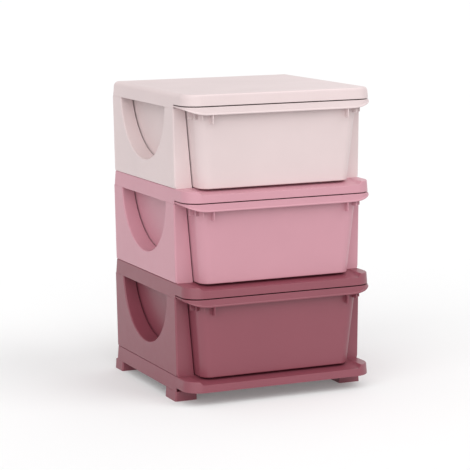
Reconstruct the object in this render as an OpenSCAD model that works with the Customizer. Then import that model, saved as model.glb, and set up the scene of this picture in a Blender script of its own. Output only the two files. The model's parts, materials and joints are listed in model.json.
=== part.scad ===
// Plastic tower of three drawers, snapped together from moulded plates, side panels and back panels.
// Millimetres. X runs across the front, the drawers face -Y, Z is up. The origin is on the floor,
// under the middle of the tower.

/* [Overall] */
// Width across the plates' skirts
body_w = 374; // [344:5:424]
// Depth from the front of the lips to the back of the skirts
body_d = 370; // [340:5:420]
// How far a moulded edge leans out from the top of a skirt to its foot
draft = 2.2; // [1:0.2:3]
// Wall of the skirts and side panels
wall = 2.5; // [2:0.1:3]
// Clearance of each piece in its socket or groove
fit = 0.3; // [0.2:0.05:0.4]

/* [Plates] */
// Height of a plate's skirt
skirt_h = 27.5; // [25:0.5:36]
// Thickness of a plate's deck
deck_t = 3; // [2.5:0.1:4]
// How far a plate's lip stands ahead of the side panels
lip_out = 60; // [50:1:66]
// Height of the lip's lower edge above the skirt's
lip_rise = 7; // [6:0.5:8]
// Radius of a plate's front corners, seen from above
plate_front_r = 34; // [26:1:44]
// Radius of a plate's back corners
plate_back_r = 12; // [12:1:18]
// Rounding of a divider's top edge
plate_edge_r = 1.5; // [1:0.25:2.5]
// Rounding of the cover's top edge along the sides and back
cover_edge_r = 9; // [6:1:12]
// Rounding of the cover's top edge along the front
cover_front_r = 3; // [2:0.5:5]
// How far the deck falls towards the front edge between its side bands
scoop_drop = 7; // [4:0.5:8]
// Width of the level band that is left on each side of that fall
scoop_band = 24; // [18:1:30]
// Thickness of the ribs below a deck
rib_t = 2; // [1.6:0.1:2.4]
// Depth of the long ribs below a deck
rib_h = 8; // [6:1:9]
// Distance between the long ribs below a deck
rib_pitch = 74; // [60:1:84]

/* [Side panels] */
// Height of a side panel between two plates
panel_h = 144.5; // [130:0.5:180]
// How far the panels' backs lie inside the back of the skirts
panel_inset = 5.5; // [5:0.5:7]
// Rounding of a side panel's outer upright edges
panel_edge_r = 3; // [2:0.5:4]
// Radius of the round window's arc
window_r = 110; // [95:1:114]
// Height of the arc's centre above the side panel's top
window_rise = 4; // [2:1:10]
// Distance of the arc's centre behind the side panel's front
window_y = 150.5; // [145:0.5:156]

/* [Pegs] */
// Width of the pegs, across the tower
peg_w = 12; // [10:1:13]
// Length of the pegs, from front to back
peg_l = 24; // [20:1:26]
// Height of the upper pegs, on panels and feet
peg_up = 18; // [14:1:19]
// Depth of the lower pegs of a side panel
peg_down = 7; // [5:1:8]
// Distance of a peg's middle from the tower's side
peg_in = 14.5; // [14:0.1:15]
// Distance of a front peg's middle behind the side panels' front
peg_front = 20; // [18:1:22]
// Distance of a back peg's middle ahead of the side panels' back
peg_back = 19.5; // [19:0.5:21]

/* [Feet] */
// Height of the feet below the skirt
foot_h = 18.5; // [14:0.5:40]
// Width of a foot, across the tower
foot_w = 41; // [34:1:45]
// Length of a front foot
front_foot_l = 50; // [44:1:70]
// Length of a back foot
back_foot_l = 38; // [37:1:60]
// How far a foot flares out at the floor
foot_flare = 1.2; // [0.4:0.2:2.4]
// Thickness of a foot's walls and sole
foot_t = 3; // [2.5:0.1:4]

/* [Drawers] */
// Distance of a drawer's side wall from the tower's side, at the rim
drawer_in = 25.5; // [25.5:0.5:30]
// How far a drawer's side walls lean in on the way down
side_lean = 12.5; // [6:0.5:14]
// How far a drawer's front wall leans in on the way down
front_lean = 12; // [8:0.5:16]
// How far a drawer's back wall leans in on the way down
back_lean = 8; // [4:0.5:12]
// Wall and floor of a drawer
drawer_wall = 2.5; // [2:0.1:3]
// Radius of a drawer's front corners
drawer_front_r = 20; // [16:1:26]
// Radius of a drawer's back corners
drawer_back_r = 20; // [14:1:26]
// Rounding of a drawer's lower edge
drawer_foot_r = 2; // [1.5:0.5:5]
// Gap between a drawer's side wall and the side panel's inner edge
side_gap = 1.2; // [1:0.1:2]
// Distance of a drawer's back wall from the back panel, when shut
back_gap = 6; // [5:0.5:12]
// Height of a drawer's underside above the deck
floor_gap = 0.8; // [0.7:0.1:1.6]
// Width of the runner ribs below a drawer
runner_w = 4; // [3:0.5:8]
// Distance between the runner ribs
runner_pitch = 180; // [120:5:220]
// Width of the narrow rim along a drawer's sides and back
rim_w = 1.8; // [1.5:0.1:2]
// Height of the stop tabs on a drawer's back wall
tab_h = 10; // [8:0.5:11]
// Width of a stop tab
tab_w = 30; // [20:1:40]
// Distance between the stop tabs
tab_pitch = 200; // [150:5:220]

/* [Drawer lips] */
// Gap between a plate's lip and the drawer's lip below it
lip_gap = 2; // [1.5:0.25:3]
// Gap between a shut drawer's lip and the side panels' front
lip_stand = 1.5; // [1:0.25:3]
// Thickness of the lip
lip_t = 2.5; // [2:0.1:3]
// Height of the lip at its middle
lip_h = 14.5; // [12:0.5:18]
// Radius of the lip's corners, seen from above
lip_corner_r = 30; // [26:1:40]
// Radius of the arcs in which the lip's lower edge rises to its ends
lip_arc_r = 95; // [90:1:120]
// Distance of the start of those arcs from the tower's side
lip_arc_in = 45; // [38:1:45]
// Distance of a drawer's front wall behind the lip's front, at the rim
lip_reach = 11; // [9:0.5:14]
// Thickness of the gussets below the lip
gusset_t = 1.8; // [1.4:0.1:2.2]
// How far a gusset stands out from the drawer's wall
gusset_out = 10; // [8:0.5:12]
// How far the short gussets reach below the lip
gusset_short = 8; // [5:0.5:12]
// How far the long gussets reach below the lip
gusset_long = 16.5; // [12:0.5:22]
// Distance of a long gusset from the tower's side
gusset_in = 53.5; // [48:0.5:60]

/* [Hidden] */

// Moulded colours, from the lower tier to the upper one
TIER_COLOURS = ["#a0545f", "#d08f9d", "#e6cfcf"];

// Directions of the short gussets round a corner, in degrees ahead of straight out to the side
GUSSET_TURNS = [0, 33.75, 67.5];

// Smoothness of the hulls' corner rings, and the height of the cone that draws one
HULL_FN = 32;
RING_H = 0.5;
// Overlap with which a rib or peg is fused to the wall that carries it
FUSE = 0.5;
// How far a cutting solid runs past the face that it opens
PAST = 2;

half_w = body_w / 2;
lip_y = -body_d / 2;
skirt_y = body_d / 2;
panel_y0 = lip_y + lip_out;
panel_y1 = skirt_y - panel_inset;
tier_pitch = skirt_h + panel_h;

// Pegs: middles, and the sockets' outer sizes
peg_x = half_w - peg_in;
peg_ys = [panel_y0 + peg_front, panel_y1 - peg_back];
socket_w = peg_w + 2 * (fit + rib_t);
socket_l = peg_l + 2 * (fit + rib_t);

// Drawers, measured from the deck that they stand on
rim_z = panel_h + lip_rise - lip_gap;
rim_half = half_w - drawer_in;
tub_front = lip_y + lip_reach;
tub_back = panel_y1 - wall - back_gap;
inner_half_top = half_w - drawer_in + side_gap;
runner_y0 = tub_front + front_lean + drawer_foot_r;
runner_y1 = tub_back - back_lean - drawer_foot_r;

// Ribs below a deck, measured from the skirt's lower edge
deck_under = skirt_h - deck_t;
edge_share = 0.4;
across = 2 * (peg_x - socket_w / 2 - 1);
stop_y = panel_y0 + lip_out / 4;
stop_z = lip_rise - lip_gap + tab_h / 2 - 1;
back_rib_y = panel_y1 - wall - 2 * fit - rib_t;

function plate_z(k) = foot_h + k * tier_pitch;
function deck_z(k) = plate_z(k) + skirt_h;
// How far a plate's outline leans in at a height z above the skirt's lower edge
function lean(z) = draft * z / skirt_h;
// How far a rounding of radius r draws the outline in at a height z
function round_in(z, r) = z <= skirt_h - r ? 0 : r - sqrt(max(0, r * r - pow(z - skirt_h + r, 2)));
// Heights at which a plate's outline is taken: its foot, then along the rounding of its top edge
function edge_levels(r, steps) =
    concat([0], [for (i = [0:steps]) skirt_h - r * (1 - sin(90 * i / steps))]);
// Half width of the drawer's opening between the side panels, at a height z above the deck
function inner_half(z) = inner_half_top - side_lean * (panel_h - z) / (rim_z - floor_gap);
// Share of the walls' lean at a height z of a drawer
function down(z) = (rim_z - z) / (rim_z - floor_gap);

// Corner of a hull's outline at the height z: the wide end of a cone that points into the hull
module corner_ring(x, y, z, r, lowest) {
    translate([x, y, lowest ? z : z - RING_H])
        cylinder(h = RING_H, r1 = lowest ? r : 0, r2 = lowest ? 0 : r, $fn = HULL_FN);
}

// The four corners of a rounded rectangle at the height z
module outline_ring(z, half, y0, y1, r0, r1, lowest) {
    for (side = [-1, 1]) {
        corner_ring(side * (half - r0), y0 + r0, z, r0, lowest);
        corner_ring(side * (half - r1), y1 - r1, z, r1, lowest);
    }
}

// Rounded rectangle with true arcs
module rounded_outline(half, y0, y1, r0, r1) {
    translate([-half, y0 + r0]) square([2 * half, y1 - y0 - r0 - r1]);
    translate([-half + r0, y0]) square([2 * (half - r0), r0]);
    translate([-half + r1, y1 - r1]) square([2 * (half - r1), r1]);
    for (side = [-1, 1]) {
        translate([side * (half - r0), y0 + r0]) circle(r = r0, $fn = 96);
        translate([side * (half - r1), y1 - r1]) circle(r = r1, $fn = 64);
    }
}

// Outline in the X-Z plane, drawn along Y from y0 to y1
module along_y(y0, y1) {
    translate([0, y1, 0]) rotate([90, 0, 0]) linear_extrude(y1 - y0) children();
}

// Outline in the Y-Z plane, drawn along X from x0 to x1
module along_x(x0, x1) {
    translate([x0, 0, 0]) rotate([90, 0, 90]) linear_extrude(x1 - x0) children();
}

// ---------------------------------------------------------------- plates

// A plate's outline at the height z, drawn in by t, its front at y0
module plate_ring(z, t, y0) {
    outline_ring(z, half_w - t, y0, skirt_y - t, plate_front_r - t,
        max(plate_back_r - t, FUSE), z <= 0);
}

// Outer form of a plate, from its skirt's lower edge to its top
module plate_form(edge_r, front_r, steps) {
    hull() for (z = edge_levels(edge_r, steps))
        plate_ring(z, lean(z) + round_in(z, edge_r), lip_y + lean(z) + round_in(z, front_r));
}

// Hollow below the deck: it follows the deck down to the front edge, and edge_in cuts its own edge off
module plate_hollow(drop, edge_in) {
    front = drop > 0 ? panel_y0 : lip_y + wall + lean(deck_under) + edge_in;
    hull() {
        for (z = [-PAST, deck_under - max(drop, edge_in)])
            plate_ring(z, wall + lean(z), lip_y + wall + lean(z));
        plate_ring(deck_under, wall + lean(deck_under) + edge_in, front);
    }
}

// Fall of the deck between its side bands, ahead of the side panels
module deck_scoop() {
    scoop_half = half_w - scoop_band;
    run = lip_out / scoop_drop;
    low = skirt_h - (lip_out + PAST) / run;
    intersection() {
        along_x(-half_w, half_w) polygon([[panel_y0 + PAST * run, skirt_h + PAST],
            [lip_y - PAST, low], [lip_y - PAST, skirt_h + PAST]]);
        along_y(lip_y - PAST, panel_y0 + PAST * run) polygon([
            [-scoop_half - PAST, skirt_h + PAST], [scoop_half + PAST, skirt_h + PAST],
            [scoop_half + low - skirt_h, low], [-scoop_half - low + skirt_h, low]]);
    }
}

// A box at each of the four peg places, from z0 to z1
module at_pegs(w, l, z0, z1) {
    for (side = [-1, 1], y = peg_ys)
        translate([side * peg_x - w / 2, y - l / 2, z0]) cube([w, l, z1 - z0]);
}

// Ribs below a deck: long ones, cross ones from skirt to skirt, the drawers' stop and the back panel's rib
module deck_ribs(edge_in, has_drawer) {
    top = deck_under + FUSE;
    low = deck_under - rib_h;
    run = back_rib_y - stop_y;
    cross_half = half_w - draft - wall / 2;
    for (i = [-1.5:1.5])
        translate([i * rib_pitch - rib_t / 2, stop_y, low]) cube([rib_t, run + FUSE, top - low]);
    for (y = [stop_y + run / 4, stop_y + run / 2, stop_y + 3 * run / 4])
        along_y(y, y + rib_t) polygon([[-cross_half, low], [cross_half, low],
            [cross_half, deck_under - edge_in], [cross_half - edge_in, top],
            [edge_in - cross_half, top], [-cross_half, deck_under - edge_in]]);
    for (y = [stop_y, back_rib_y])
        translate([-across / 2, y, has_drawer ? stop_z : low])
            cube([across, rib_t, top - (has_drawer ? stop_z : low)]);
}

// One plate, standing on z = 0 at its skirt's lower edge
module plate(edge_r, front_r, steps, drop, has_drawer, through) {
    edge_in = edge_share * edge_r;
    difference() {
        union() {
            difference() {
                plate_form(edge_r, front_r, steps);
                plate_hollow(drop, edge_in);
                translate([-body_w, lip_y - PAST, -PAST])
                    cube([2 * body_w, lip_out + PAST, lip_rise + PAST]);
                if (drop > 0) deck_scoop();
            }
            at_pegs(socket_w, socket_l, wall, deck_under + FUSE);
            deck_ribs(edge_in, has_drawer);
        }
        at_pegs(peg_w + 2 * fit, peg_l + 2 * fit, 0, through ? skirt_h + PAST : deck_under);
    }
}

module top_cover() {
    color(TIER_COLOURS[2]) translate([0, 0, plate_z(3)])
        plate(cover_edge_r, cover_front_r, 5, 0, true, false);
}

module divider(level) {
    color(TIER_COLOURS[level - 1]) translate([0, 0, plate_z(level)])
        plate(plate_edge_r, plate_edge_r, 2, scoop_drop, true, true);
}

module base_plate() {
    color(TIER_COLOURS[0]) translate([0, 0, plate_z(0)])
        plate(plate_edge_r, plate_edge_r, 2, scoop_drop, false, true);
}

// ---------------------------------------------------------------- feet

// Hollow peg whose shoulder is at z = 0
module peg(h, x, y) {
    bore_w = peg_w - 2 * wall;
    bore_l = peg_l - 2 * wall;
    difference() {
        translate([x - peg_w / 2, y - peg_l / 2, -FUSE]) cube([peg_w, peg_l, h + FUSE]);
        translate([x - bore_w / 2, y - bore_l / 2, 0]) cube([bore_w, bore_l, h + PAST]);
    }
}

// Foot on the right-hand side, from y0 to y1
module right_foot(y0, y1, peg_y) {
    inner = half_w - foot_w;
    difference() {
        intersection() {
            along_y(y0, y1) polygon([[inner, 0], [half_w + foot_flare, 0], [half_w, foot_h], [inner, foot_h]]);
            linear_extrude(foot_h) foot_outline(inner, half_w + foot_flare, y0, y1, panel_edge_r);
        }
        translate([0, 0, foot_t]) linear_extrude(foot_h)
            difference() {
                translate([inner + foot_t, y0 + foot_t])
                    square([foot_w - 2 * foot_t, y1 - y0 - 2 * foot_t]);
                translate([peg_x - peg_w / 2, peg_y - peg_l / 2]) square([peg_w, peg_l]);
            }
        translate([peg_x - peg_w / 2 + wall, peg_y - peg_l / 2 + wall, foot_t])
            cube([peg_w - 2 * wall, peg_l - 2 * wall, foot_h]);
    }
    translate([0, 0, foot_h]) peg(peg_up, peg_x, peg_y);
}

// Rectangle whose outer corners are rounded
module foot_outline(x0, x1, y0, y1, r) {
    translate([x0, y0]) square([x1 - x0 - r, y1 - y0]);
    translate([x0, y0 + r]) square([x1 - x0, y1 - y0 - 2 * r]);
    for (y = [y0 + r, y1 - r]) translate([x1 - r, y]) circle(r = r, $fn = 48);
}

module foot(side, front) {
    y0 = front ? panel_y0 : skirt_y - back_foot_l;
    y1 = front ? panel_y0 + front_foot_l : skirt_y;
    color(TIER_COLOURS[0]) mirror([side < 0 ? 1 : 0, 0, 0]) right_foot(y0, y1, peg_ys[front ? 0 : 1]);
}

// ---------------------------------------------------------------- side panels

// Section of a side panel across the tower, in X and Z; t is what its outer face gives up
module panel_section(t) {
    polygon([[inner_half(0), 0], [half_w - lean(skirt_h) - t, 0], [half_w - t, panel_h],
        [inner_half(panel_h), panel_h]]);
}

// The window's arc, grown by t
module window_arc(t) {
    translate([panel_y0 + window_y, panel_h + window_rise]) circle(r = window_r + t, $fn = 180);
}

// Ribs inside a side panel, in Y and Z
module panel_ribs() {
    for (i = [1, 2]) translate([panel_y0, i * panel_h / 3 - rib_t / 2])
        square([panel_y1 - panel_y0 - 3 * wall, rib_t]);
    for (i = [-1, 0, 1]) translate([panel_y0 + window_y + i * window_r / 2 - rib_t / 2, 0])
        square([rib_t, panel_h / 2]);
}

// Right-hand side panel, standing on z = 0
module right_side_panel() {
    x0 = inner_half(0) - 1;
    intersection() {
        along_y(panel_y0, panel_y1) panel_section(0);
        linear_extrude(panel_h) foot_outline(x0, half_w, panel_y0, panel_y1, panel_edge_r);
        along_x(x0, half_w + 1) difference() {
            translate([panel_y0, 0]) square([panel_y1 - panel_y0, panel_h]);
            window_arc(0);
        }
        difference() {
            along_y(panel_y0, panel_y1) panel_section(0);
            intersection() {
                translate([-PAST, 0, 0]) along_y(panel_y0, panel_y1) panel_section(wall - PAST);
                along_x(x0 - 1, half_w) difference() {
                    translate([panel_y0 + wall, wall])
                        square([panel_y1 - panel_y0 - 2 * wall, panel_h - 2 * wall]);
                    window_arc(wall);
                    panel_ribs();
                }
            }
        }
    }
    for (y = peg_ys) {
        translate([0, 0, panel_h]) peg(peg_up, peg_x, y);
        translate([peg_x - peg_w / 2, y - peg_l / 2, -peg_down]) cube([peg_w, peg_l, peg_down + FUSE]);
    }
}

module side_panel(side, tier) {
    color(TIER_COLOURS[tier]) translate([0, 0, deck_z(tier)])
        mirror([side < 0 ? 1 : 0, 0, 0]) right_side_panel();
}

// ---------------------------------------------------------------- back panels

// Outline of the back panel between the side panels, grown by t
module back_outline(t, z0, z1) {
    polygon([[-inner_half(z0) - t, z0], [inner_half(z0) + t, z0],
        [inner_half(z1) + t, z1], [-inner_half(z1) - t, z1]]);
}

module back_panel(tier) {
    lap = 3 * wall;
    frame = 6 * wall;
    lap_y1 = panel_y1 - wall - fit;
    tongue_top = panel_h + peg_up - PAST;
    tongue_half = inner_half(panel_h) - lap;
    color(TIER_COLOURS[tier]) translate([0, 0, deck_z(tier)]) {
        along_y(lap_y1, panel_y1) back_outline(-fit, 0, panel_h);
        difference() {
            along_y(lap_y1 - wall, lap_y1) back_outline(lap, wall + 1, panel_h - wall - 1);
            along_y(lap_y1 - 2 * wall, lap_y1) back_outline(lap - frame, frame, panel_h - frame);
        }
        along_y(lap_y1, panel_y1) translate([-tongue_half, panel_h - FUSE])
            square([2 * tongue_half, tongue_top - panel_h + FUSE]);
    }
}

// ---------------------------------------------------------------- drawers

// Tub with leaning walls, drawn in by t all round, from z0 up to z1
module tub(t, z0, z1) {
    r = max(drawer_foot_r - t, FUSE);
    levels = [[z0, 1], [z0 + r * (1 - cos(45)), 1 - sin(45)], [z0 + r, 0], [z1, 0]];
    hull() for (level = levels) {
        z = level[0];
        inset = t + r * level[1];
        outline_ring(z, rim_half - side_lean * down(z) - inset, tub_front + front_lean * down(z) + inset,
            tub_back - back_lean * down(z) - inset, drawer_front_r - inset, drawer_back_r - inset, z == z0);
    }
}

// Rim around the tub, and the lip's top ahead of the side panels
module rim_outline() {
    rounded_outline(rim_half + rim_w, tub_front - rim_w, tub_back + rim_w,
        drawer_front_r + rim_w, drawer_back_r + rim_w);
    intersection() {
        lip_outline(0);
        translate([-body_w, lip_y - PAST]) square([2 * body_w, lip_out + PAST - lip_stand]);
    }
}

// Outline of the lip seen from above, drawn in by t
module lip_outline(t) {
    rounded_outline(half_w - t, lip_y + t, 0, lip_corner_r - t, PAST);
}

// Face of the lip seen from the front: level in the middle, rising in an arc to each end
module lip_face() {
    flat = half_w - lip_arc_in;
    low = rim_z - lip_h;
    translate([-flat, low]) square([2 * flat, lip_h]);
    for (side = [-1, 1]) intersection() {
        translate([side > 0 ? flat - FUSE : -half_w, low]) square([lip_arc_in + FUSE, lip_h]);
        translate([side * flat, low + lip_arc_r]) circle(r = lip_arc_r, $fn = 180);
    }
}

// Down-turned edge of the lip
module lip_skirt() {
    intersection() {
        translate([0, 0, rim_z - lip_h]) linear_extrude(lip_h) difference() {
            lip_outline(0);
            lip_outline(lip_t);
            translate([-body_w, panel_y0 - lip_stand]) square([2 * body_w, body_d]);
        }
        along_y(lip_y - PAST, panel_y0) lip_face();
    }
}

// Gussets between the tub's front corners and the lip
module gussets() {
    top = rim_z - lip_t + FUSE;
    low_short = rim_z - lip_h - gusset_short;
    low_long = rim_z - lip_h - gusset_long;
    corner_x = rim_half - drawer_front_r;
    corner_y = tub_front + drawer_front_r;
    intersection() {
        for (side = [-1, 1]) {
            for (turn = GUSSET_TURNS)
                translate([side * corner_x, corner_y, low_short])
                    rotate([0, 0, side > 0 ? -turn : turn - 180])
                        translate([drawer_front_r - drawer_wall - FUSE, -gusset_t / 2, 0])
                            cube([gusset_out + drawer_wall + FUSE, gusset_t, top - low_short]);
            translate([side * (half_w - gusset_in) - gusset_t / 2, lip_y + lip_t / 2, low_long])
                cube([gusset_t, lip_reach + drawer_wall, top - low_long]);
        }
        linear_extrude(2 * rim_z) lip_outline(lip_t / 2);
    }
}

// One drawer, its runners just above z = 0
module drawer(tier) {
    color(TIER_COLOURS[tier]) translate([0, 0, deck_z(tier)]) {
        difference() {
            union() {
                tub(0, floor_gap, rim_z);
                translate([0, 0, rim_z - lip_t]) linear_extrude(lip_t) rim_outline();
                gussets();
            }
            tub(drawer_wall, floor_gap + drawer_wall, rim_z + PAST);
        }
        lip_skirt();
        for (side = [-1, 1]) {
            translate([side * runner_pitch / 2 - runner_w / 2, runner_y0, fit])
                cube([runner_w, runner_y1 - runner_y0, floor_gap + FUSE - fit]);
            translate([side * tab_pitch / 2 - tab_w / 2, tub_back - drawer_wall, rim_z - lip_t])
                cube([tab_w, drawer_wall, tab_h + lip_t]);
        }
    }
}

// ---------------------------------------------------------------- the tower

top_cover();
divider(2);  // divider_upper
divider(1);  // divider_lower
base_plate();
foot(-1, true);  // foot_front_left
foot(1, true);  // foot_front_right
foot(-1, false);  // foot_rear_left
foot(1, false);  // foot_rear_right
side_panel(-1, 2);  // side_panel_left_upper
side_panel(-1, 1);  // side_panel_left_middle
side_panel(-1, 0);  // side_panel_left_lower
side_panel(1, 2);  // side_panel_right_upper
side_panel(1, 1);  // side_panel_right_middle
side_panel(1, 0);  // side_panel_right_lower
back_panel(2);  // back_panel_upper
back_panel(1);  // back_panel_middle
back_panel(0);  // back_panel_lower
drawer(2);  // drawer_upper
drawer(1);  // drawer_middle
drawer(0);  // drawer_lower
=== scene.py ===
import json
import math

import bmesh
import bpy
from mathutils import Euler, Matrix, Vector


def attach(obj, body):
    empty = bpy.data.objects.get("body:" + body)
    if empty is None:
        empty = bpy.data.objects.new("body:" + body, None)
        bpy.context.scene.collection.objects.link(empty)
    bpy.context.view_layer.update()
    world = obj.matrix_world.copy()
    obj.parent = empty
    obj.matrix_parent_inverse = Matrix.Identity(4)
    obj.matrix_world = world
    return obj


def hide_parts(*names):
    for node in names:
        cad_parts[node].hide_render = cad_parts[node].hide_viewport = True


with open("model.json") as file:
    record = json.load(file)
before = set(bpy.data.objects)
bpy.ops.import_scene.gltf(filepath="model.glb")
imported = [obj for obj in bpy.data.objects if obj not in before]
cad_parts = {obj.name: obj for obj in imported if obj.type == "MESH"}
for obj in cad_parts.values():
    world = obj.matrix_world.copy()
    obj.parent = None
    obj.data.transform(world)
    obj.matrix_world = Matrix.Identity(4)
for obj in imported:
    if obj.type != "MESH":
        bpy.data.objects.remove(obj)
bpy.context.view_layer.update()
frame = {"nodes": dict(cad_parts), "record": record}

# The tower stands on Z = 0 and its drawers slide out along -Y. Mouldings are drawn in
# millimetres and brought to metres when they are finished.
MM = 0.001

# ------------------------------------------------------------------ materials

# Colour and specular level of the moulded plastic, from the lowest tier to the highest
PLASTICS = {
    "deep_plastic": ((0.25, 0.06, 0.085), 0.68),
    "mid_plastic": ((0.614, 0.305, 0.364), 0.5),
    "pale_plastic": ((0.758, 0.628, 0.627), 0.4),
}
PLASTIC_IOR = 1.5
# Noise: its scale per metre, its detail and its roughness
MOTTLE_NOISE = (9, 3, 0.5)
GLOSS_NOISE = (45, 4, 0.6)
WAVE_NOISE = (14, 2, 0.5)
GRAIN_NOISE = (1400, 2, 0.5)
# The noise levels between which the mottle's tint changes, and the tint's share of the colour
MOTTLE_ENDS = (0.3, 0.7)
MOTTLE_TINTS = (0.975, 1.02)
GLOSS_ROUGHNESS = (0.34, 0.44)
# Height in millimetres and strength of each bump
WAVE = (0.4, 0.25)
GRAIN = (0.05, 0.18)


def moulded_plastic(name, colour, specular):
    """Satin polypropylene: fine spark-eroded grain, faint flow mottle and slight waviness."""
    material = bpy.data.materials.new(name)
    material.use_nodes = True
    nodes = material.node_tree.nodes
    link = material.node_tree.links.new
    shader = nodes["Principled BSDF"]
    shader.inputs["IOR"].default_value = PLASTIC_IOR
    shader.inputs["Specular IOR Level"].default_value = specular
    place = nodes.new("ShaderNodeTexCoord").outputs["Object"]

    def noise(per_m, detail, roughness):
        node = nodes.new("ShaderNodeTexNoise")
        node.inputs["Scale"].default_value = per_m
        node.inputs["Detail"].default_value = detail
        node.inputs["Roughness"].default_value = roughness
        link(place, node.inputs["Vector"])
        return node.outputs["Fac"]

    def bump(pattern, height, strength):
        node = nodes.new("ShaderNodeBump")
        node.inputs["Strength"].default_value = strength
        node.inputs["Distance"].default_value = height * MM
        link(noise(*pattern), node.inputs["Height"])
        return node

    tint = nodes.new("ShaderNodeValToRGB")
    for stop, position, share in zip(tint.color_ramp.elements, MOTTLE_ENDS, MOTTLE_TINTS):
        stop.position = position
        stop.color = (*[channel * share for channel in colour], 1)
    link(noise(*MOTTLE_NOISE), tint.inputs["Fac"])
    link(tint.outputs["Color"], shader.inputs["Base Color"])

    gloss = nodes.new("ShaderNodeMapRange")
    gloss.inputs["To Min"].default_value, gloss.inputs["To Max"].default_value = GLOSS_ROUGHNESS
    link(noise(*GLOSS_NOISE), gloss.inputs["Value"])
    link(gloss.outputs["Result"], shader.inputs["Roughness"])

    wave, grain = bump(WAVE_NOISE, *WAVE), bump(GRAIN_NOISE, *GRAIN)
    link(wave.outputs["Normal"], grain.inputs["Normal"])
    link(grain.outputs["Normal"], shader.inputs["Normal"])
    return material


MATERIALS = {name: moulded_plastic(name, *looks) for name, looks in PLASTICS.items()}

# ------------------------------------------------------------------ sizes, in millimetres

# These are the sizes of the solids, but for SIDE_GAP, which is 0.5 wider, and the edge rounds.
# Heights of a tier are above its deck.
HALF_W = 187.0
FRONT_Y, BACK_Y = -185.0, 185.0
DECK_Z = {"lower": 46.0, "middle": 218.0, "upper": 390.0}
WALL = 2.5

PEG_X0, PEG_X1 = 166.5, 178.5
PEG_FRONT_Y, PEG_BACK_Y = -105, 160
PEG_HALF = 12
PEG_UP, PEG_DOWN = 18, 7
# How far behind a face the pegs and ribs start
SINK = 1

PANEL_Y0, PANEL_Y1 = -125.0, 179.5
PANEL_H = 144.5
DRAFT = 2.2
PANEL_EDGE = 3.0
SEAT_EDGE = 0.3
SEAM_H = 0.9
SEAM_DEPTH = 2.0
CORNER_IN = 6
WINDOW_R = 110.0
WINDOW_Y = 25.5
WINDOW_Z = 148.5
WINDOW_EDGE = 2.4
WINDOW_STEPS = 80
RIB_HALF = 1
# How far a panel's rib stays behind its inner edge and its outer face
RIB_INNER, RIB_OUTER = 0.5, 1.5

RIM_Z = 149.5
RIM_HALF = 161.5
RIM_W = 1.8
TUB_FRONT, TUB_BACK = -174.0, 171.0
SIDE_LEAN, FRONT_LEAN, BACK_LEAN = 12.5, 12.0, 8.0
SIDE_GAP = 1.7
TUB_WALL = 2.5
TUB_FLOOR = 0.8
FOOT_ROUND, INNER_ROUND = 2.0, 3.0
TUB_R = 20.0
TUB_STEPS = 14
# Over the rim: how far below its height, and how far in from the tub's outer face
RIM_PROFILE = [(2.5, 0), (2.5, 0.4 - RIM_W), (2.1, -RIM_W), (0.65, -RIM_W),
               (0.23, 0.18 - RIM_W), (0.05, 0.6 - RIM_W), (0.05, TUB_WALL - 0.6),
               (0.23, TUB_WALL - 0.18), (0.65, TUB_WALL)]

LIP_BACK = -126.5
LIP_R = 30.0
LIP_STEPS = 20
LIP_T = 2.5
LIP_H = 14.5
LIP_FLAT = 142.0
# Points on the lip's straight parts where its lower edge rises: Y at the sides, X at the front
LIP_SIDE_YS = (LIP_BACK, -134, -141, -148)
LIP_FRONT_XS = (-150, -145, -LIP_FLAT)
LIP_ARC_R = 95.0
LIP_INSET = 1.1
LIP_SHOULDER = 1.2
BEAD_H = 2.6
BEAD_BACK = 0.25
# The bead gets thinner where less than this of the lip hangs below its shoulder
BEAD_FADE = 9
# Over the lip: how far in from its outer edge, and a height. That is below the top, above the
# lower edge as a share of the bead, the same but not above the underside, or below the underside.
LIP_PROFILE = [(2.2, "top", 0), (1.55, "top", 0.2), (1.2, "top", 0.6),
               (LIP_INSET, "top", LIP_SHOULDER), (LIP_INSET, "edge", 1.5), (0.35, "edge", 1.15),
               (0, "edge", 0.75), (0, "edge", 0.4), (0.3, "edge", 0.1), (0.9, "inner edge", 0),
               (2.0, "inner edge", 0), (LIP_T, "inner edge", BEAD_BACK), (LIP_T, "under", 0.6),
               (LIP_T + 0.7, "under", 0)]

GUSSET_HALF = 0.9
GUSSET_TOP = 1.5
# Turn and reach of the gussets round a corner of the tub
CORNER_GUSSETS = ((0, 28), (33.75, 27.5), (67.5, 29))
CORNER_GUSSET_ROOT = 1.8
CORNER_GUSSET_DROP = 8
FRONT_GUSSET_X = 133.5
FRONT_GUSSET_DROP = 16.5
# How far behind the lip's face the front gussets start, and how far behind the tub's they end
FRONT_GUSSET_Y0, FRONT_GUSSET_Y1 = 1.3, 3
STOP_X, STOP_HALF, STOP_H = 100, 15, 10
RUNNER_X, RUNNER_HALF = 90, 2
RUNNER_Y0, RUNNER_Y1 = -160, 161
# Height at which a runner starts, and how far it reaches up into the tub's floor
RUNNER_Z, RUNNER_ROOT = 0.3, 0.8

FOOT_H = 18.5
FOOT_W = 41.0
FOOT_FRONT_D, FOOT_REAR_D = 50, 38
FOOT_FLARE = 1.2
FOOT_T = 3.0
FOOT_INNER_R = 0.8
FOOT_LEAST_R = 0.5
FOOT_STEPS = 6

# ------------------------------------------------------------------ mouldings

BODY_OF = {node: body for body, nodes in frame["record"]["behaviour"]["bodies"].items()
           for node in nodes}
SLOT_OF = {row["node"]: row["material_slot"] for row in frame["record"]["subparts"]}
SHARP_ANGLE = math.radians(40)
BAR_EDGE = 0.3


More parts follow.
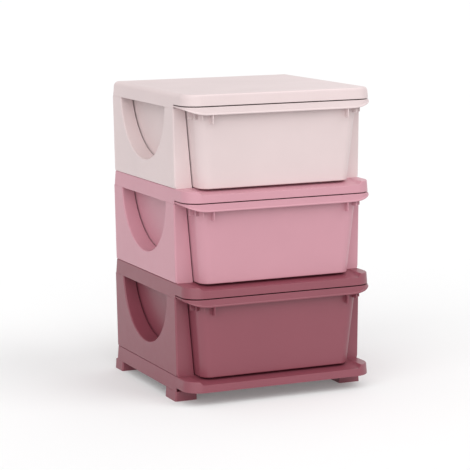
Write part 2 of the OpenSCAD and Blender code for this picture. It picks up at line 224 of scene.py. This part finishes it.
def finished(mesh, node):
    """Puts the piece that stands for a CAD node in the scene, from its mesh in metres."""
    bmesh.ops.recalc_face_normals(mesh, faces=mesh.faces)
    data = bpy.data.meshes.new(node + "_skin")
    mesh.to_mesh(data)
    mesh.free()
    for face in data.polygons:
        face.use_smooth = True
    data.set_sharp_from_angle(angle=SHARP_ANGLE)
    data.materials.append(MATERIALS[SLOT_OF[node]])
    piece = bpy.data.objects.new(node + "_moulded", data)
    bpy.context.collection.objects.link(piece)
    normals = piece.modifiers.new("flat_faces_lead", "WEIGHTED_NORMAL")
    normals.keep_sharp = True
    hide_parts(node)
    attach(piece, BODY_OF[node])


class Mould:
    """The surface of one moulding, drawn in millimetres as closed shells."""

    def __init__(self):
        self.mesh = bmesh.new()

    def loft(self, sections):
        """A closed shell through sections of equally many points, its first and last filled."""
        rings = [[self.mesh.verts.new(point) for point in section] for section in sections]
        for low, high in zip(rings, rings[1:]):
            for i in range(len(low)):
                self.mesh.faces.new((low[i - 1], low[i], high[i], high[i - 1]))
        self.mesh.faces.new(rings[0][::-1])
        self.mesh.faces.new(rings[-1])

    def bar(self, low, high, turn=0.0, about=(0.0, 0.0)):
        """A box with its edges rounded, turned about an upright line by degrees."""
        size = [b - a for a, b in zip(low, high)]
        middle = [(a + b) / 2 for a, b in zip(low, high)]
        place = (Matrix.Translation((*about, 0)) @ Matrix.Rotation(math.radians(turn), 4, "Z")
                 @ Matrix.Translation(middle) @ Matrix.Diagonal((*size, 1)))
        corners = bmesh.ops.create_cube(self.mesh, size=1, matrix=place)["verts"]
        edges = list({edge for corner in corners for edge in corner.link_edges})
        bmesh.ops.bevel(self.mesh, geom=edges, offset=BAR_EDGE, segments=2, profile=0.5,
                        affect="EDGES")

    def peg(self, y, low, high):
        """A peg of a side panel or foot, between two heights."""
        self.bar((PEG_X0, y - PEG_HALF, low), (PEG_X1, y + PEG_HALF, high))

    def finish(self, node, height, mirrored=False):
        """Stands the moulding at its height above the floor, as the piece for a CAD node."""
        place = Matrix.Scale(MM, 4) @ Matrix.Translation((0, 0, height))
        if mirrored:
            place = place @ Matrix.Scale(-1, 4, (1, 0, 0))
        bmesh.ops.transform(self.mesh, matrix=place, verts=self.mesh.verts)
        finished(self.mesh, node)


def quarter(steps):
    """Shares (1 - sine, 1 - cosine) of the radius along a quarter round. They run from (1, 0),
    where the round leaves one face, to (0, 1), where it meets the other."""
    for i in range(steps + 1):
        turn = math.pi / 2 * i / steps
        yield 1 - math.sin(turn), 1 - math.cos(turn)


def outline(x0, x1, y0, y1, z, radii, steps):
    """Rectangle at a height, its corners rounded, from the front right one on anticlockwise."""
    middles = [(x1 - radii[0], y0 + radii[0]), (x1 - radii[1], y1 - radii[1]),
               (x0 + radii[2], y1 - radii[2]), (x0 + radii[3], y0 + radii[3])]
    points = []
    for k, ((x, y), r) in enumerate(zip(middles, radii)):
        for i in range(steps + 1):
            turn = math.radians(90 * k - 90 + 90 * i / steps)
            points.append((x + r * math.cos(turn), y + r * math.sin(turn), z))
    return points


# ------------------------------------------------------------------ side panels


def inner_x(z):
    """Inner edge of a side panel at a height above its deck."""
    return RIM_HALF + SIDE_GAP - SIDE_LEAN * (PANEL_H - z) / (RIM_Z - TUB_FLOOR)


def outer_x(z):
    """Outer face of a side panel at a height above its deck."""
    return HALF_W - DRAFT * (1 - z / PANEL_H)


def panel_outline():
    """Points (y, z) round a side panel with its window, each with the cut of its outer edge
    (dy, dz, depth) and with the way to the inside of its wall (dy, dz)."""
    y0, y1, h, near = PANEL_Y0, PANEL_Y1, PANEL_H, CORNER_IN
    e, s, w = PANEL_EDGE, SEAT_EDGE, WALL
    slot_h, slot_d, edge = SEAM_H, SEAM_DEPTH, WINDOW_EDGE
    reach = math.acos((h - WINDOW_Z) / WINDOW_R) - math.pi / 2
    end = math.sqrt(WINDOW_R ** 2 - (WINDOW_Z - h) ** 2)
    inner_end = math.sqrt((WINDOW_R + w) ** 2 - (WINDOW_Z - h + w) ** 2) - end
    points = [
        (y0, h, e, -s, e, w, -w), (y0, h - near, e, 0, e, w, 0),
        (y0, near, e, 0, e, w, 0), (y0, 0, e, slot_h, e, w, w),
        (y0 + near, 0, 0, slot_h, slot_d, 0, w), (y1 - near, 0, 0, slot_h, slot_d, 0, w),
        (y1, 0, -e, slot_h, e, -w, w), (y1, near, -e, 0, e, -w, 0),
        (y1, h - near, -e, 0, e, -w, 0), (y1, h, -e, -s, e, -w, -w),
        (y1 - near, h, 0, -s, s, 0, -w), (WINDOW_Y + end + near, h, 0, -s, s, 0, -w),
        (WINDOW_Y + end, h, edge, -s, edge, inner_end, -w),
    ]
    for i in range(1, WINDOW_STEPS):
        turn = -reach - (math.pi - 2 * reach) * i / WINDOW_STEPS
        c, d = math.cos(turn), math.sin(turn)
        points.append((WINDOW_Y + WINDOW_R * c, WINDOW_Z + WINDOW_R * d,
                       edge * c, edge * d, edge, w * c, w * d))
    points += [
        (WINDOW_Y - end, h, -edge, -s, edge, -inner_end, -w),
        (WINDOW_Y - end - near, h, 0, -s, s, 0, -w), (y0 + near, h, 0, -s, s, 0, -w),
    ]
    return points


# The seam slot where a panel stands on a plate: shares of its height and depth, from its mouth on
SEAM_CUTS = ((1, 0), (1, 0.5), (1, 1), (0.5, 1), (0, 1))
# The panel's inner edge, rounded: share of the way to the inside of the wall, and mm set back
INNER_EDGE = ((0, 0.6), (0.06, 0.15), (0.2, 0), (0.8, 0), (0.94, 0.15), (1, 0.6))


def side_panel(node, tier):
    """Side panel: outer wall, rounded window with its deep flange, ribs in the hollow, pegs."""
    mould = Mould()
    points = panel_outline()
    sections = []
    for edge_cut, seam_cut in zip(quarter(len(SEAM_CUTS) - 1), SEAM_CUTS):
        section = []
        for y, z, dy, dz, depth, _, _ in points:
            up, deep = seam_cut if dz == SEAM_H else edge_cut
            section.append((outer_x(z + up * dz) - depth * deep, y + edge_cut[0] * dy,
                            z + up * dz))
        sections.append(section)
    for share, back in INNER_EDGE:
        sections.append([(inner_x(z + share * iz) + back, y + share * iy, z + share * iz)
                         for y, z, _, _, _, iy, iz in points])
    sections.append([(outer_x(z + iz) - WALL, y + iy, z + iz)
                     for y, z, _, _, _, iy, iz in points])
    mould.loft(sections)

    window = WINDOW_R + WALL / 2
    for z in (PANEL_H / 3, 2 * PANEL_H / 3):
        half = math.sqrt(window ** 2 - (WINDOW_Z - z) ** 2)
        for y0, y1 in ((PANEL_Y0 + SINK, WINDOW_Y - half), (WINDOW_Y + half, PANEL_Y1 - SINK)):
            mould.bar((inner_x(z) + RIB_INNER, y0, z - RIB_HALF),
                      (outer_x(z) - RIB_OUTER, y1, z + RIB_HALF))
    for along in (-WINDOW_R / 2, 0, WINDOW_R / 2):
        top = WINDOW_Z - math.sqrt(window ** 2 - along ** 2)
        y = WINDOW_Y + along
        mould.bar((inner_x(top) + RIB_INNER, y - RIB_HALF, SINK),
                  (outer_x(0) - RIB_OUTER, y + RIB_HALF, top))
    for y in (PEG_FRONT_Y, PEG_BACK_Y):
        mould.peg(y, PANEL_H - SINK, PANEL_H + PEG_UP)
        mould.peg(y, -PEG_DOWN, SINK)
    mould.finish(node, DECK_Z[tier], mirrored="left" in node)


# ------------------------------------------------------------------ drawers


def tub_section(z, inset):
    """Outline of a drawer's tub at a height above its deck, drawn in by inset."""
    down = (RIM_Z - z) / (RIM_Z - TUB_FLOOR)
    half = RIM_HALF - SIDE_LEAN * down - inset
    return outline(-half, half, TUB_FRONT + FRONT_LEAN * down + inset,
                   TUB_BACK - BACK_LEAN * down - inset, z, [TUB_R - inset] * 4, TUB_STEPS)


def lip_path():
    """Points (x, y) along the lip's outer edge from left to right, with the direction inwards."""
    x1, y1 = HALF_W - LIP_R, FRONT_Y + LIP_R
    left = [(-HALF_W, y, 1, 0) for y in LIP_SIDE_YS]
    for i in range(LIP_STEPS + 1):
        turn = math.radians(180 + 90 * i / LIP_STEPS)
        c, d = math.cos(turn), math.sin(turn)
        left.append((-x1 + LIP_R * c, y1 + LIP_R * d, -c, -d))
    left += [(x, FRONT_Y, 0, 1) for x in LIP_FRONT_XS]
    return left + [(-x, y, -nx, ny) for x, y, nx, ny in reversed(left)]


def lip_low(x, y):
    """Height of the lip's lower edge: level in the middle, rising in an arc to its thin ends."""
    across = max(0.0, abs(x) - LIP_FLAT)
    low = RIM_Z - LIP_H + LIP_ARC_R - math.sqrt(LIP_ARC_R ** 2 - across ** 2)
    back = max(0.0, (y - FRONT_Y - LIP_R) / (LIP_BACK - FRONT_Y - LIP_R))
    return low + (RIM_Z - LIP_T - low) * back


def lip_height(x, y, kind, height):
    """Height of a point of the lip's profile, beside a point of its outer edge."""
    low, under = lip_low(x, y), RIM_Z - LIP_T
    bead = BEAD_H * min(1.0, (RIM_Z - LIP_SHOULDER - low) / BEAD_FADE)
    if kind == "top":
        return RIM_Z - height
    if kind == "edge":
        return low + height * bead
    if kind == "inner edge":
        return min(low + height * bead, under)
    return min(max(under - height, low + BEAD_BACK * bead), under)


def lip(mould):
    """The lip that is the drawer's handle: a flat top and a down-turned edge with a bead."""
    half, y0 = RIM_HALF - TUB_WALL / 2, TUB_FRONT + TUB_WALL / 2
    r = TUB_R - TUB_WALL / 2
    wall = [(half, LIP_BACK)]
    for i in range(TUB_STEPS + 1):
        turn = math.radians(-90 * i / TUB_STEPS)
        wall.append((half - r + r * math.cos(turn), y0 + r + r * math.sin(turn)))
    wall += [(-x, y) for x, y in reversed(wall)]

    path = lip_path()
    sections = []
    for k, (inwards, kind, height) in enumerate(LIP_PROFILE):
        edge = [(x + nx * inwards, y + ny * inwards, lip_height(x, y, kind, height))
                for x, y, nx, ny in path]
        z = RIM_Z - LIP_T * k / (len(LIP_PROFILE) - 1)
        sections.append(edge + [(x, y, z) for x, y in wall])
    mould.loft(sections)


def drawer(tier):
    """Drawer: tub with leaning walls, rim, lip with its gussets, stop tabs and runners."""
    mould = Mould()
    outside = [tub_section(TUB_FLOOR + FOOT_ROUND * up, FOOT_ROUND * cut)
               for up, cut in list(quarter(4))[::-1]]
    rim = [tub_section(RIM_Z - down, inset) for down, inset in RIM_PROFILE]
    inside = [tub_section(TUB_FLOOR + TUB_WALL + INNER_ROUND * up, TUB_WALL + INNER_ROUND * cut)
              for up, cut in quarter(4)]
    mould.loft(outside + rim + inside)
    lip(mould)

    top, low = RIM_Z - GUSSET_TOP, RIM_Z - LIP_H
    for side in (-1, 1):
        corner = (side * (RIM_HALF - TUB_R), TUB_FRONT + TUB_R)
        for turn, reach in CORNER_GUSSETS:
            mould.bar((TUB_R - CORNER_GUSSET_ROOT, -GUSSET_HALF, low - CORNER_GUSSET_DROP),
                      (reach, GUSSET_HALF, top), -turn if side > 0 else turn - 180, corner)
        x = side * FRONT_GUSSET_X
        mould.bar((x - GUSSET_HALF, FRONT_Y + FRONT_GUSSET_Y0, low - FRONT_GUSSET_DROP),
                  (x + GUSSET_HALF, TUB_FRONT + FRONT_GUSSET_Y1, top))
        x = side * STOP_X
        mould.bar((x - STOP_HALF, TUB_BACK - TUB_WALL, RIM_Z - LIP_T),
                  (x + STOP_HALF, TUB_BACK, RIM_Z + STOP_H))
        x = side * RUNNER_X
        mould.bar((x - RUNNER_HALF, RUNNER_Y0, RUNNER_Z),
                  (x + RUNNER_HALF, RUNNER_Y1, TUB_FLOOR + RUNNER_ROOT))
    mould.finish("drawer_" + tier, DECK_Z[tier])


# ------------------------------------------------------------------ feet


def foot(node):
    """Foot: a flared shell with a closed sole and a peg for the base plate."""
    if "front" in node:
        y0, y1, peg_y = PANEL_Y0, PANEL_Y0 + FOOT_FRONT_D, PEG_FRONT_Y
    else:
        y0, y1, peg_y = BACK_Y - FOOT_REAR_D, BACK_Y, PEG_BACK_Y

    def section(z, inset):
        outside = HALF_W + FOOT_FLARE * (1 - z / FOOT_H) - inset
        outer_r = max(PANEL_EDGE - inset, FOOT_LEAST_R)
        return outline(HALF_W - FOOT_W + inset, outside, y0 + inset, y1 - inset, z,
                       [outer_r, outer_r, FOOT_INNER_R, FOOT_INNER_R], FOOT_STEPS)

    edge = [(SEAT_EDGE * down, SEAT_EDGE * cut) for cut, down in quarter(3)]
    mould = Mould()
    mould.loft([section(down, cut) for down, cut in edge]
               + [section(FOOT_H - down, cut) for down, cut in edge[::-1]]
               + [section(FOOT_H, FOOT_T), section(FOOT_T, FOOT_T)])
    mould.peg(peg_y, SINK, FOOT_H + PEG_UP)
    mould.finish(node, 0, mirrored="left" in node)


# ------------------------------------------------------------------ plates and back panels

MERGE = 0.01 * MM
FLAT_ANGLE = math.radians(0.4)
EDGE_ANGLE = math.radians(32)
EDGE_ROUND = 0.55 * MM


def rounded(node):
    """The CAD node's own form, each flat face in one piece and its sharp outer edges rounded."""
    mesh = bmesh.new()
    mesh.from_mesh(frame["nodes"][node].data)
    bmesh.ops.remove_doubles(mesh, verts=mesh.verts, dist=MERGE)
    bmesh.ops.dissolve_limit(mesh, angle_limit=FLAT_ANGLE, verts=mesh.verts, edges=mesh.edges)
    sharp = [edge for edge in mesh.edges
             if edge.is_manifold and edge.is_convex and edge.calc_face_angle() > EDGE_ANGLE]
    bmesh.ops.bevel(mesh, geom=sharp, offset=EDGE_ROUND, segments=2, profile=0.5,
                    affect="EDGES", clamp_overlap=False)
    finished(mesh, node)


for tier in DECK_Z:
    drawer(tier)
    for side in ("left", "right"):
        side_panel(f"side_panel_{side}_{tier}", tier)
    rounded("back_panel_" + tier)
for node in ("top_cover", "divider_upper", "divider_lower", "base_plate"):
    rounded(node)
for place in ("front_left", "front_right", "rear_left", "rear_right"):
    foot("foot_" + place)

# ------------------------------------------------------------------ floor and light

FLOOR_HALF = 60.0
# What the camera and gloss see of the floor: its colour, and the glow that is added to it
FLOOR_MATT = 0.8
FLOOR_GLOW = 0.15
# The floor's colour for the light that it throws back onto the tower
FLOOR_BOUNCE = 0.54
SURROUND_WHITE = 0.97
SURROUND_LIGHT = 0.64
# Azimuth (0 is +X, 90 is +Y), elevation and spread in degrees, and strength
SUNS = {
    "left_light": (-128, 22, 80, 1.87),
    "front_light": (-45, 45, 40, 0.83),
    "back_light": (45, 20, 40, 0.2),
}


def grey(level):
    """A colour from one level."""
    return level, level, level, 1


def floor():
    """Seamless white floor that keeps the tower's soft shadow."""
    data = bpy.data.meshes.new("floor")
    corners = [(-1, -1), (1, -1), (1, 1), (-1, 1)]
    data.from_pydata([(x * FLOOR_HALF, y * FLOOR_HALF, 0) for x, y in corners], [],
                     [(0, 1, 2, 3)])
    piece = bpy.data.objects.new("floor", data)
    bpy.context.collection.objects.link(piece)
    material = bpy.data.materials.new("white_floor")
    material.use_nodes = True
    nodes = material.node_tree.nodes
    link = material.node_tree.links.new
    nodes.remove(nodes["Principled BSDF"])
    matt, bounce = (nodes.new("ShaderNodeBsdfDiffuse") for _ in range(2))
    matt.inputs["Color"].default_value = grey(FLOOR_MATT)
    bounce.inputs["Color"].default_value = grey(FLOOR_BOUNCE)
    glow = nodes.new("ShaderNodeEmission")
    glow.inputs["Color"].default_value = grey(1)
    glow.inputs["Strength"].default_value = FLOOR_GLOW
    both = nodes.new("ShaderNodeAddShader")
    link(matt.outputs["BSDF"], both.inputs[0])
    link(glow.outputs["Emission"], both.inputs[1])
    path = nodes.new("ShaderNodeLightPath")
    seen = nodes.new("ShaderNodeMath")
    seen.operation = "MAXIMUM"
    link(path.outputs["Is Camera Ray"], seen.inputs[0])
    link(path.outputs["Is Glossy Ray"], seen.inputs[1])
    mix = nodes.new("ShaderNodeMixShader")
    link(seen.outputs["Value"], mix.inputs["Fac"])
    link(bounce.outputs["BSDF"], mix.inputs[1])
    link(both.outputs["Shader"], mix.inputs[2])
    link(mix.outputs["Shader"], nodes["Material Output"].inputs["Surface"])
    data.materials.append(material)


def surround():
    """White surround: the light of the studio, and plain white where the camera sees it."""
    world = bpy.data.worlds.new("surround")
    bpy.context.scene.world = world
    world.use_nodes = True
    nodes = world.node_tree.nodes
    link = world.node_tree.links.new
    light = nodes["Background"]
    light.inputs["Strength"].default_value = SURROUND_LIGHT
    light.inputs["Color"].default_value = grey(1)
    seen = nodes.new("ShaderNodeBackground")
    seen.inputs["Color"].default_value = grey(SURROUND_WHITE)
    path = nodes.new("ShaderNodeLightPath")
    mix = nodes.new("ShaderNodeMixShader")
    link(path.outputs["Is Camera Ray"], mix.inputs["Fac"])
    link(light.outputs["Background"], mix.inputs[1])
    link(seen.outputs["Background"], mix.inputs[2])
    link(mix.outputs["Shader"], nodes["World Output"].inputs["Surface"])


def soft_sun(name, azimuth, elevation, spread, strength):
    """Broad soft light from far away."""
    data = bpy.data.lights.new(name, "SUN")
    data.angle = math.radians(spread)
    data.energy = strength
    piece = bpy.data.objects.new(name, data)
    a, e = math.radians(azimuth), math.radians(elevation)
    source = Vector((math.cos(e) * math.cos(a), math.cos(e) * math.sin(a), math.sin(e)))
    piece.rotation_euler = source.to_track_quat("Z", "Y").to_euler()
    bpy.context.collection.objects.link(piece)


floor()
surround()
for name, light in SUNS.items():
    soft_sun(name, *light)

# ------------------------------------------------------------------ camera

CAMERA_AT = (-1.47306, -3.28431, 0.85227)
CAMERA_AZIMUTH = -23.985
CAMERA_ELEVATION = 9.096
CAMERA_ROLL = -0.409
FOCAL_PIXELS = 1926.27
IMAGE_PIXELS = 470
SENSOR_MM = 36
CLIP_END = 200


def camera():
    """The photograph's viewpoint."""
    data = bpy.data.cameras.new("camera")
    data.sensor_width = SENSOR_MM
    data.lens = FOCAL_PIXELS / IMAGE_PIXELS * SENSOR_MM
    data.clip_end = CLIP_END
    azimuth, elevation = math.radians(CAMERA_AZIMUTH), math.radians(CAMERA_ELEVATION)
    turn = Euler((math.pi / 2 - elevation, 0, azimuth)).to_matrix() @ Matrix.Rotation(
        math.radians(CAMERA_ROLL), 3, "Z")
    piece = bpy.data.objects.new("camera", data)
    piece.matrix_world = Matrix.Translation(CAMERA_AT) @ turn.to_4x4()
    bpy.context.collection.objects.link(piece)
    bpy.context.scene.camera = piece


camera()
bpy.context.scene.view_settings.view_transform = "Standard"
